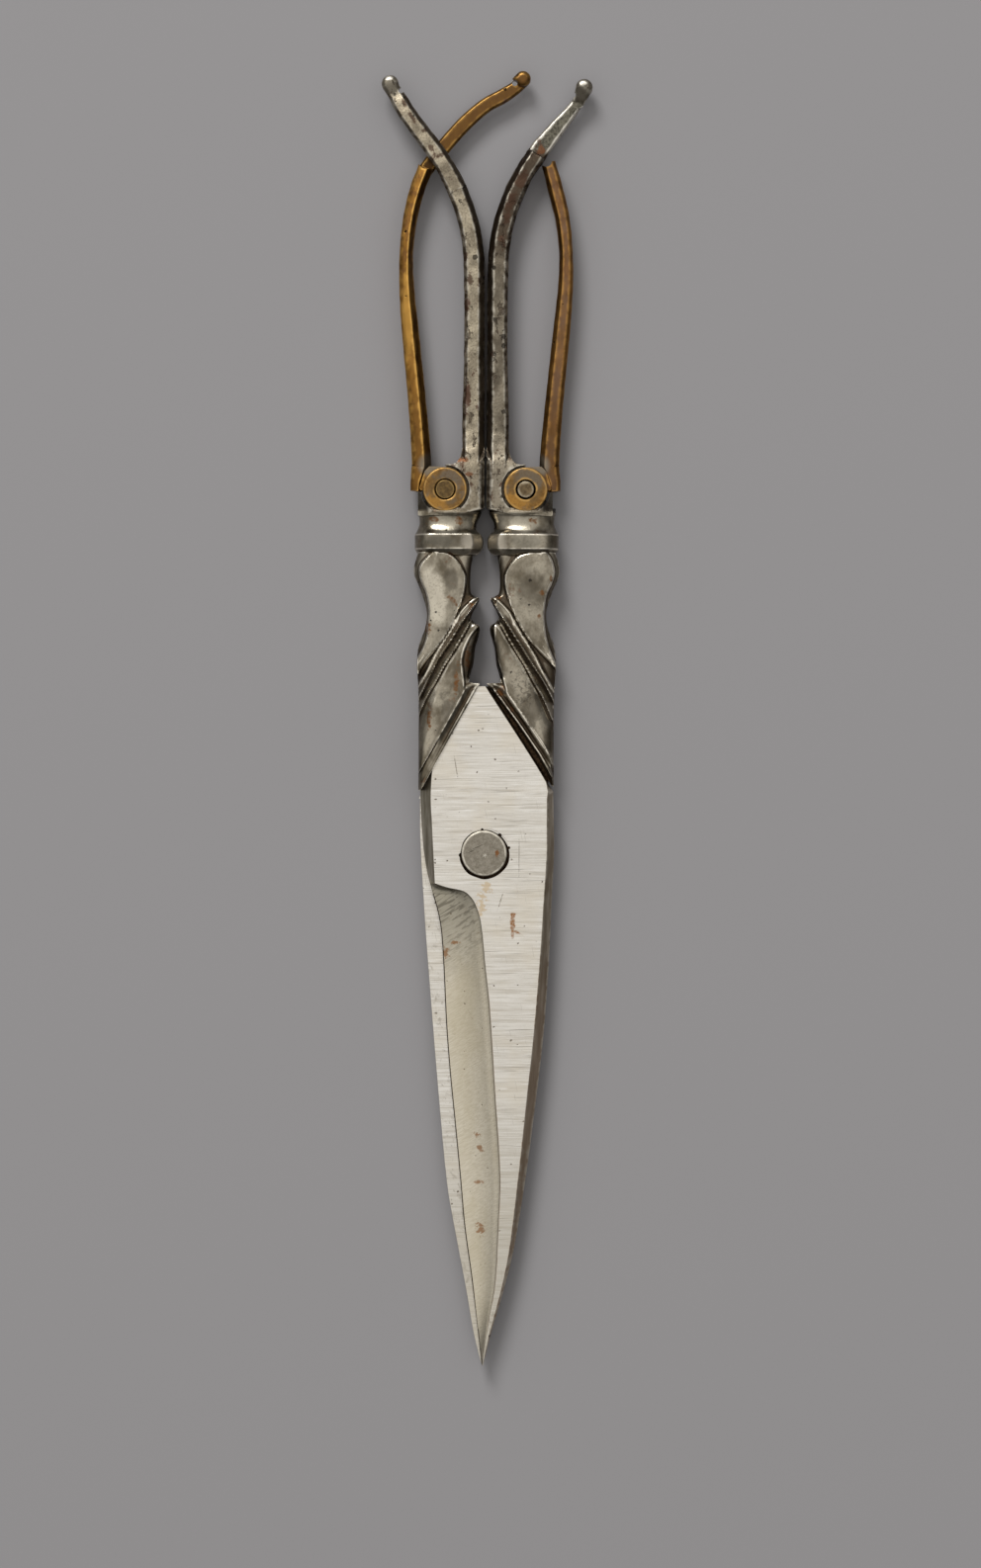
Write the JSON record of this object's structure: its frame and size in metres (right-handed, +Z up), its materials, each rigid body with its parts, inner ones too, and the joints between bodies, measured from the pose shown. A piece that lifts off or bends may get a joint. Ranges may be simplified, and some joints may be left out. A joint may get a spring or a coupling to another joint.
{
  "type": "folding sewing scissors",
  "caption": "Steel scissors with carved shanks whose finger loops fold in: hinged brass bows swing out to hook against curved steel arms.",
  "frame": {"origin": "centre of the main rivet's flat back head, on its axis", "axes": "+X to the right, +Y from the blade tips to the finger loops, +Z up out of the table"},
  "size_m": [0.0318, 0.1964, 0.0064],
  "materials": {
    "blade_steel": "ground and polished, pitted and stained",
    "worn_steel": "dull, worn",
    "bow_brass": "tarnished, rubbed bright on the edges",
    "washer_brass": "tarnished, turned face"
  },
  "bodies": {
    "rear_half": {"rear_steel_half": "blade_steel", "main_rivet": "worn_steel", "right_hinge_pin": "worn_steel", "right_front_washer": "washer_brass", "right_back_washer": "washer_brass"},
    "front_half": {"front_steel_half": "blade_steel", "left_hinge_pin": "worn_steel", "left_front_washer": "washer_brass", "left_back_washer": "washer_brass"},
    "left_bow": {"left_brass_bow": "bow_brass"},
    "right_bow": {"right_brass_bow": "bow_brass"}
  },
  "joints": [
    {"name": "main_pivot", "type": "hinge", "parent": "rear_half", "child": "front_half", "pos_m": [0, 0, 0.0032], "axis": [0, 0, 1], "range_deg": [0, 85]},
    {"name": "left_bow_hinge", "type": "hinge", "parent": "front_half", "child": "left_bow", "pos_m": [-0.0061, 0.0551, 0.0032], "axis": [0, 0, 1], "range_deg": [0, 14]},
    {"name": "right_bow_hinge", "type": "hinge", "parent": "rear_half", "child": "right_bow", "pos_m": [0.0061, 0.0551, 0.0032], "axis": [0, 0, -1], "range_deg": [0, 14]}
  ]
}
